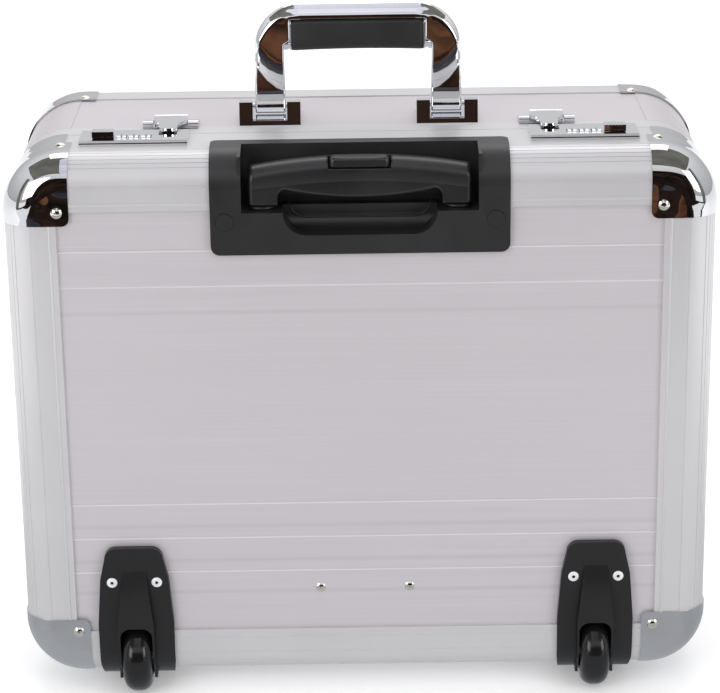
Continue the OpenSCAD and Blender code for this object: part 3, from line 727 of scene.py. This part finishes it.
def build_ledge():
    """The moulded ledge round the back of the finger scoop."""
    bend_x, bend_z, reach_x, reach_z = 36, 339.5, 11, 12.6
    ledge_y, radius, around = 17.6, 0.7, 8
    path = []
    for side in (-1, 1):
        leg = []
        for i in range(9):
            a = math.radians(90 * i / 8)
            leg.append((side * (bend_x + reach_x * math.cos(a)), bend_z - reach_z * math.sin(a)))
        path = path + (leg if side < 0 else leg[::-1])
    rings = []
    for x, z in path:
        turns = [2 * math.pi * k / around for k in range(around)]
        rings.append([at(x, ledge_y + radius * math.cos(t), z + radius * math.sin(t)) for t in turns])
    return loft("scoop_ledge", rings, MATERIALS["black"])


add_piece(build_button(), "release_button", "grip_moulding", "trolley_button")
add_piece(build_trolley_grip(), "trolley_top", "grip_moulding", "trolley_grip")
for part in build_tube_collars():
    add_piece(part, "trolley_mid", "black_moulding")
add_piece(build_ledge(), "back_shell", "black_moulding")


# ---------------------------------------------------------------- dial numbers
def build_digits(node, body):
    """Ten numbers painted round one combination dial, in metres."""
    digit_size, paint, first_turn = 0.0040, 0.00004, 62
    low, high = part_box(node)
    mid = (Vector(low) + Vector(high)) / 2
    radius = (high[2] - low[2]) / 2
    bm = bmesh.new()
    for k in range(10):
        curve = bpy.data.curves.new("digit", "FONT")
        curve.body = str(k)
        curve.size = digit_size
        curve.align_x = "CENTER"
        curve.align_y = "CENTER"
        curve.resolution_u = 3
        flat = link_object("digit", curve)
        mesh = bpy.data.meshes.new_from_object(flat.evaluated_get(bpy.context.evaluated_depsgraph_get()))
        bpy.data.objects.remove(flat)
        turn = Matrix.Rotation(math.radians(36 * k + first_turn), 4, "X")
        for v in mesh.vertices:
            height = radius + paint - v.co.y * v.co.y / (2 * radius)
            v.co = mid + turn @ Vector((v.co.x, v.co.y, height))
        bm.from_mesh(mesh)
        bpy.data.meshes.remove(mesh)
        bpy.data.curves.remove(curve)
    mesh = bpy.data.meshes.new(node + "_numbers")
    bm.to_mesh(mesh)
    bm.free()
    mesh.materials.append(MATERIALS["paint"])
    add_piece(link_object(node + "_numbers", mesh), body, "dial")


for hand in ("left", "right"):
    for number in (1, 2, 3):
        build_digits(f"dial_{hand}_{number}", f"{hand}_dial_{number}")


# ---------------------------------------------------------------- quilted lining pads
def build_pad(name, body, y_back, toward, x_half, z0, z1):
    """A thin quilted foam pad on the floor of a tray. toward is +1 or -1: the side its soft face looks to."""
    nx, nz, thick, quilt = 108, 84, 3.2, 62.0
    rim_width, crease_width, crease_share = 7.0, 9.0, 0.35
    verts, faces = [], []
    for k in range(nz + 1):
        for i in range(nx + 1):
            x = -x_half + 2 * x_half * i / nx
            z = z0 + (z1 - z0) * k / nz
            rim = min(x_half - abs(x), z - z0, z1 - z)
            u, v = (x + z) / quilt, (x - z) / quilt
            crease = min(abs(u - round(u)), abs(v - round(v))) * quilt
            puff = crease_share + (1 - crease_share) * smooth_step(crease / crease_width)
            rise = smooth_step((rim + 0.6) / rim_width) * puff
            rise += 0.04 * noise.noise(Vector((x, z, 3.0)) / 30)
            verts.append(at(x, y_back + toward * (0.25 + thick * min(max(rise, 0.02), 1.0)), z))
    row = nx + 1
    for k in range(nz):
        for i in range(nx):
            a = k * row + i
            faces.append((a, a + 1, a + row + 1, a + row))
    border = (list(range(row)) + [row * k + nx for k in range(1, nz + 1)]
              + [row * nz + i for i in range(nx - 1, -1, -1)] + [row * k for k in range(nz - 1, 0, -1)])
    start = len(verts)
    for index in border:
        v = verts[index]
        verts.append(Vector((v.x, at(0, y_back + toward * 0.1, 0).y, v.z)))
    count = len(border)
    for i in range(count):
        j = (i + 1) % count
        faces.append((border[i], border[j], start + j, start + i))
    faces.append(tuple(range(start, start + count)))
    ob = mesh_object(name, verts, faces, MATERIALS["lining"])
    add_piece(ob, body, "lining")


build_pad("back_tray_pad", "back_shell", 32.2, 1, 214, 52, 350)
build_pad("front_tray_pad", "front_shell", 184.0, -1, 214, 22, 350)


# ---------------------------------------------------------------- stage and light
def plane(name, size_x, size_y, place, aim, material):
    """A rectangle whose front (+Z) faces the point aim."""
    mesh = bpy.data.meshes.new(name)
    x, y = size_x / 2, size_y / 2
    mesh.from_pydata([(-x, -y, 0), (x, -y, 0), (x, y, 0), (-x, y, 0)], [], [(0, 1, 2, 3)])
    mesh.materials.append(material)
    ob = link_object(name, mesh)
    ob.location = place
    ob.rotation_euler = (Vector(aim) - Vector(place)).to_track_quat("Z", "Y").to_euler()
    return ob


def patchy(name, dark, light, scale):
    """A glowing card of the room, with soft patches of light and shade."""
    material = bpy.data.materials.new(name)
    material.use_nodes = True
    tree = material.node_tree
    tree.nodes.clear()
    glow = tree.nodes.new("ShaderNodeEmission")
    glow.inputs[1].default_value = 1.0
    out = tree.nodes.new("ShaderNodeOutputMaterial")
    coords = tree.nodes.new("ShaderNodeTexCoord")
    patches = tree.nodes.new("ShaderNodeTexNoise")
    patches.inputs["Scale"].default_value = scale
    patches.inputs["Detail"].default_value = 5
    patches.inputs["Roughness"].default_value = 0.6
    shade = tree.nodes.new("ShaderNodeValToRGB")
    for stop, position, color in zip(shade.color_ramp.elements, (0.42, 0.60), (dark, light)):
        stop.position = position
        stop.color = (*color, 1)
    tree.links.new(coords.outputs["Object"], patches.inputs["Vector"])
    tree.links.new(patches.outputs["Fac"], shade.inputs[0])
    tree.links.new(shade.outputs[0], glow.inputs[0])
    tree.links.new(glow.outputs[0], out.inputs[0])
    return material


def area_light(name, place, aim, size_x, size_y, power):
    data = bpy.data.lights.new(name, "AREA")
    data.shape = "RECTANGLE"
    data.size = size_x
    data.size_y = size_y
    data.energy = power
    ob = link_object(name, data)
    ob.location = place
    ob.rotation_euler = (Vector(aim) - Vector(place)).to_track_quat("-Z", "Y").to_euler()


def build_floor():
    paper = Surface("floor_paper")
    cloud = paper.noise(3, 2, 0.5)
    paper.color(paper.ramp(cloud, [(0.3, (0.93, 0.93, 0.93)), (0.7, (0.95, 0.95, 0.95))]))
    paper.set(Roughness=0.8, Emission_Color=(1, 1, 1, 1), Emission_Strength=0.22)
    plane("floor", 60, 60, (0, 0, 0), (0, 0, 1), paper.material)


def build_world():
    """A pale sky that is darker near the horizon."""
    world = bpy.data.worlds.new("world")
    bpy.context.scene.world = world
    world.use_nodes = True
    tree = world.node_tree
    coords = tree.nodes.new("ShaderNodeTexCoord")
    split = tree.nodes.new("ShaderNodeSeparateXYZ")
    shade = tree.nodes.new("ShaderNodeValToRGB")
    for stop, position, value in zip(shade.color_ramp.elements, (0.0, 0.9), (0.50, 1.0)):
        stop.position = position
        stop.color = (value, value, value * 1.01, 1)
    tree.links.new(coords.outputs["Generated"], split.inputs[0])
    tree.links.new(split.outputs["Z"], shade.inputs[0])
    tree.links.new(shade.outputs[0], tree.nodes["Background"].inputs[0])
    tree.nodes["Background"].inputs[1].default_value = 1.0
    bpy.context.scene.view_settings.view_transform = "Standard"


def build_room():
    """A dim room round the set, seen only in reflections."""
    brown = ((0.006, 0.005, 0.006), (0.032, 0.018, 0.013))
    glow = ((0.018, 0.010, 0.008), (0.17, 0.075, 0.038))
    olive = ((0.15, 0.145, 0.125), (0.21, 0.205, 0.185))
    slate = ((0.035, 0.035, 0.045), (0.055, 0.055, 0.07))
    white = ((0.95, 0.95, 1.0), (1.0, 1.0, 1.0))
    lamp = ((0.70, 0.70, 0.82), (0.95, 0.95, 1.0))
    paper = ((0.38, 0.39, 0.41), (0.50, 0.51, 0.53))
    for name, size_x, size_y, place, aim, tones, scale in (
        ("room_ceiling", 5.0, 3.4, (0, -0.5, 2.4), (0, -0.5, 0), olive, 0.6),
        ("room_lamp", 0.85, 3.3, (0, -0.5, 2.38), (0, -0.5, 0), lamp, 1.5),
        ("room_wall", 5.2, 2.2, (0, -3.2, 0.8), (0, 0, 0.8), brown, 1.6),
        ("room_left", 0.5, 2.2, (-2.5, -1.0, 1.1), (0, -0.2, 1.1), olive, 1.0),
        ("room_right", 0.5, 2.2, (2.5, -1.0, 1.1), (0, -0.2, 1.1), olive, 1.0),
        ("room_floor", 5.2, 2.3, (0, -2.05, 0.003), (0, -2.05, 1), brown, 3.4),
        ("room_glow", 0.54, 1.6, (0.04, -1.97, 0.006), (0.04, -1.97, 1), glow, 4.5),
        ("room_mat", 5.2, 0.44, (0, -0.96, 0.005), (0, -0.96, 1), slate, 2.0),
        ("room_paper", 1.5, 0.70, (0, -0.21, 0.005), (0, -0.21, 1), paper, 1.2),
        ("window_left", 1.3, 1.3, (-1.45, -1.25, 0.008), (-1.45, -1.25, 1), white, 1.0),
        ("window_right", 1.3, 0.8, (1.47, -1.25, 0.008), (1.47, -1.25, 1), white, 1.0),
    ):
        card = plane(name, size_x, size_y, place, aim, patchy(name, *tones, scale))
        card.visible_camera = False
        card.visible_diffuse = False
        card.visible_shadow = False
        card.visible_transmission = False


build_floor()
build_world()
build_room()
area_light("key", (-1.6, -1.8, 1.1), (0, 0, 0.25), 1.2, 1.2, 13)
area_light("fill", (1.9, -1.5, 1.1), (0, 0, 0.25), 0.8, 1.2, 9.5)
area_light("top", (0, 0.9, 2.3), (0, 0, 0.3), 1.8, 1.8, 14)
